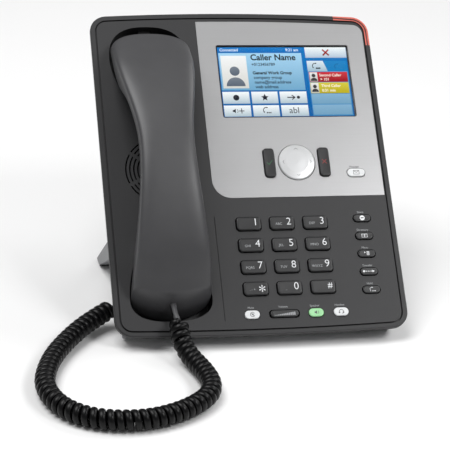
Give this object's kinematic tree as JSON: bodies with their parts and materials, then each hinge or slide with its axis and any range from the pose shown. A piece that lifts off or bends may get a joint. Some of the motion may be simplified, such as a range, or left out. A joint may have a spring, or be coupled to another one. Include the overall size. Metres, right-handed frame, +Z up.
{
  "type": "desk ip phone",
  "caption": "Desk telephone with a tilted body, colour touch display, dial and function keys, navigation disc, corded arched handset and a fold-out rear stand.",
  "frame": {"origin": "middle of the phone's footprint on the desk, cord left out", "axes": "+X to the phone's right as the user sees it, -Y towards the user, +Z up"},
  "size_m": [0.2623, 0.2857, 0.1755],
  "materials": {
    "body_plastic": "fine matt moulding",
    "handset_plastic": "satin moulding",
    "silver_panel": "brushed silver",
    "nav_metal": "satin silver",
    "call_light": "clear red",
    "cover_glass": "polished",
    "display": "lit",
    "steel": "plated",
    "board": "solder mask",
    "silicone": "matt",
    "speaker_metal": "plain",
    "inner_plastic": "natural",
    "socket_metal": "plated",
    "socket_plastic": "moulded",
    "rubber_feet": "matt",
    "stand_plastic": "matt light grey",
    "clear_plug": "clear",
    "cord_jacket": "smooth",
    "key_dark": "satin",
    "key_light": "lit white",
    "key_green": "lit pale green"
  },
  "bodies": {
    "base": {"rear_housing": "body_plastic", "front_cover": "body_plastic", "faceplate": "silver_panel", "light_pipe": "call_light", "touch_glass": "cover_glass", "lcd_panel": "display", "display_frame": "steel", "main_board": "board", "key_mat": "silicone", "speaker_driver": "speaker_metal", "speaker_retainer": "inner_plastic", "network_jacks": "socket_metal", "power_jack": "socket_plastic", "cord_jacks": "socket_plastic", "housing_screws": "steel", "front_feet": "rubber_feet", "stand_pins": "steel", "hook_switch_body": "body_plastic", "handset_retainer": "handset_plastic", "base_plug": "clear_plug", "curly_cord": "cord_jacket", "lead_base": "cord_jacket"},
    "stand": {"stand_frame": "stand_plastic", "stand_feet": "rubber_feet"},
    "handset": {"grip_shell": "handset_plastic", "face_shell": "handset_plastic", "ear_cap": "handset_plastic", "mouth_cap": "handset_plastic", "earpiece_capsule": "speaker_metal", "handset_weight": "steel", "handset_jack": "socket_plastic", "handset_plug": "clear_plug", "lead_handset": "cord_jacket"},
    "hook": {"hook_plunger": "inner_plastic"},
    "key_1_cap": {"key_1": "key_dark"},
    "key_2_cap": {"key_2": "key_dark"},
    "key_3_cap": {"key_3": "key_dark"},
    "key_4_cap": {"key_4": "key_dark"},
    "key_5_cap": {"key_5": "key_dark"},
    "key_6_cap": {"key_6": "key_dark"},
    "key_7_cap": {"key_7": "key_dark"},
    "key_8_cap": {"key_8": "key_dark"},
    "key_9_cap": {"key_9": "key_dark"},
    "key_star_cap": {"key_star": "key_dark"},
    "key_0_cap": {"key_0": "key_dark"},
    "key_hash_cap": {"key_hash": "key_dark"},
    "key_dnd_cap": {"key_dnd": "key_dark"},
    "key_directory_cap": {"key_directory": "key_dark"},
    "key_menu_cap": {"key_menu": "key_dark"},
    "key_transfer_cap": {"key_transfer": "key_dark"},
    "key_hold_cap": {"key_hold": "key_dark"},
    "key_mute_cap": {"key_mute": "key_light"},
    "key_speaker_cap": {"key_speaker": "key_green"},
    "key_headset_cap": {"key_headset": "key_light"},
    "key_message_cap": {"key_message": "key_light"},
    "key_ok_cap": {"key_ok": "key_dark"},
    "key_cancel_cap": {"key_cancel": "key_dark"},
    "volume_rocker": {"key_volume": "key_dark"},
    "nav_tilt": {"nav_carrier": "inner_plastic"},
    "nav_top": {"nav_disc": "nav_metal"}
  },
  "joints": [
    {"name": "handset_lift", "type": "slide", "parent": "base", "child": "handset", "axis": [0, -0.6947, 0.7193], "range_m": [0, 0.06]},
    {"name": "hook_follow", "type": "slide", "parent": "base", "child": "hook", "axis": [0, -0.6947, 0.7193], "range_m": [0, 0.0025]},
    {"name": "stand_fold", "type": "hinge", "parent": "base", "child": "stand", "pos_m": [0, -0.00943, 0.03655], "axis": [1, 0, 0], "range_deg": [-96, 0]},
    {"name": "key_1_press", "type": "slide", "parent": "base", "child": "key_1_cap", "axis": [0, 0.6947, -0.7193], "range_m": [0, 0.0012], "stiffness_N_per_m": 300, "springref_m": -0.0005},
    {"name": "key_2_press", "type": "slide", "parent": "base", "child": "key_2_cap", "axis": [0, 0.6947, -0.7193], "range_m": [0, 0.0012], "stiffness_N_per_m": 300, "springref_m": -0.0005},
    {"name": "key_3_press", "type": "slide", "parent": "base", "child": "key_3_cap", "axis": [0, 0.6947, -0.7193], "range_m": [0, 0.0012], "stiffness_N_per_m": 300, "springref_m": -0.0005},
    {"name": "key_4_press", "type": "slide", "parent": "base", "child": "key_4_cap", "axis": [0, 0.6947, -0.7193], "range_m": [0, 0.0012], "stiffness_N_per_m": 300, "springref_m": -0.0005},
    {"name": "key_5_press", "type": "slide", "parent": "base", "child": "key_5_cap", "axis": [0, 0.6947, -0.7193], "range_m": [0, 0.0012], "stiffness_N_per_m": 300, "springref_m": -0.0005},
    {"name": "key_6_press", "type": "slide", "parent": "base", "child": "key_6_cap", "axis": [0, 0.6947, -0.7193], "range_m": [0, 0.0012], "stiffness_N_per_m": 300, "springref_m": -0.0005},
    {"name": "key_7_press", "type": "slide", "parent": "base", "child": "key_7_cap", "axis": [0, 0.6947, -0.7193], "range_m": [0, 0.0012], "stiffness_N_per_m": 300, "springref_m": -0.0005},
    {"name": "key_8_press", "type": "slide", "parent": "base", "child": "key_8_cap", "axis": [0, 0.6947, -0.7193], "range_m": [0, 0.0012], "stiffness_N_per_m": 300, "springref_m": -0.0005},
    {"name": "key_9_press", "type": "slide", "parent": "base", "child": "key_9_cap", "axis": [0, 0.6947, -0.7193], "range_m": [0, 0.0012], "stiffness_N_per_m": 300, "springref_m": -0.0005},
    {"name": "key_star_press", "type": "slide", "parent": "base", "child": "key_star_cap", "axis": [0, 0.6947, -0.7193], "range_m": [0, 0.0012], "stiffness_N_per_m": 300, "springref_m": -0.0005},
    {"name": "key_0_press", "type": "slide", "parent": "base", "child": "key_0_cap", "axis": [0, 0.6947, -0.7193], "range_m": [0, 0.0012], "stiffness_N_per_m": 300, "springref_m": -0.0005},
    {"name": "key_hash_press", "type": "slide", "parent": "base", "child": "key_hash_cap", "axis": [0, 0.6947, -0.7193], "range_m": [0, 0.0012], "stiffness_N_per_m": 300, "springref_m": -0.0005},
    {"name": "key_dnd_press", "type": "slide", "parent": "base", "child": "key_dnd_cap", "axis": [0, 0.6947, -0.7193], "range_m": [0, 0.0012], "stiffness_N_per_m": 300, "springref_m": -0.0005},
    {"name": "key_directory_press", "type": "slide", "parent": "base", "child": "key_directory_cap", "axis": [0, 0.6947, -0.7193], "range_m": [0, 0.0012], "stiffness_N_per_m": 300, "springref_m": -0.0005},
    {"name": "key_menu_press", "type": "slide", "parent": "base", "child": "key_menu_cap", "axis": [0, 0.6947, -0.7193], "range_m": [0, 0.0012], "stiffness_N_per_m": 300, "springref_m": -0.0005},
    {"name": "key_transfer_press", "type": "slide", "parent": "base", "child": "key_transfer_cap", "axis": [0, 0.6947, -0.7193], "range_m": [0, 0.0012], "stiffness_N_per_m": 300, "springref_m": -0.0005},
    {"name": "key_hold_press", "type": "slide", "parent": "base", "child": "key_hold_cap", "axis": [0, 0.6947, -0.7193], "range_m": [0, 0.0012], "stiffness_N_per_m": 300, "springref_m": -0.0005},
    {"name": "key_mute_press", "type": "slide", "parent": "base", "child": "key_mute_cap", "axis": [0, 0.6947, -0.7193], "range_m": [0, 0.0012], "stiffness_N_per_m": 300, "springref_m": -0.0005},
    {"name": "key_speaker_press", "type": "slide", "parent": "base", "child": "key_speaker_cap", "axis": [0, 0.6947, -0.7193], "range_m": [0, 0.0012], "stiffness_N_per_m": 300, "springref_m": -0.0005},
    {"name": "key_headset_press", "type": "slide", "parent": "base", "child": "key_headset_cap", "axis": [0, 0.6947, -0.7193], "range_m": [0, 0.0012], "stiffness_N_per_m": 300, "springref_m": -0.0005},
    {"name": "key_message_press", "type": "slide", "parent": "base", "child": "key_message_cap", "axis": [0, 0.6947, -0.7193], "range_m": [0, 0.0012], "stiffness_N_per_m": 300, "springref_m": -0.0005},
    {"name": "key_ok_press", "type": "slide", "parent": "base", "child": "key_ok_cap", "axis": [0, 0.6947, -0.7193], "range_m": [0, 0.0012], "stiffness_N_per_m": 300, "springref_m": -0.0005},
    {"name": "key_cancel_press", "type": "slide", "parent": "base", "child": "key_cancel_cap", "axis": [0, 0.6947, -0.7193], "range_m": [0, 0.0012], "stiffness_N_per_m": 300, "springref_m": -0.0005},
    {"name": "volume_rock", "type": "hinge", "parent": "base", "child": "volume_rocker", "pos_m": [0.0144, -0.0798, 0.0167], "axis": [0, 0.7193, 0.6947], "range_deg": [-4, 4], "stiffness_Nm_per_rad": 0.1},
    {"name": "nav_up_down", "type": "hinge", "parent": "base", "child": "nav_tilt", "pos_m": [0.0358, -0.00137, 0.09312], "axis": [1, 0, 0], "range_deg": [-2.5, 2.5], "stiffness_Nm_per_rad": 0.2},
    {"name": "nav_left_right", "type": "hinge", "parent": "nav_tilt", "child": "nav_top", "pos_m": [0.0358, -0.00137, 0.09312], "axis": [0, 0.7193, 0.6947], "range_deg": [-2.5, 2.5], "stiffness_Nm_per_rad": 0.2}
  ],
  "couplings": [
    {"joint": "hook_follow", "follows": "handset_lift", "ratio": 0.0416}
  ]
}
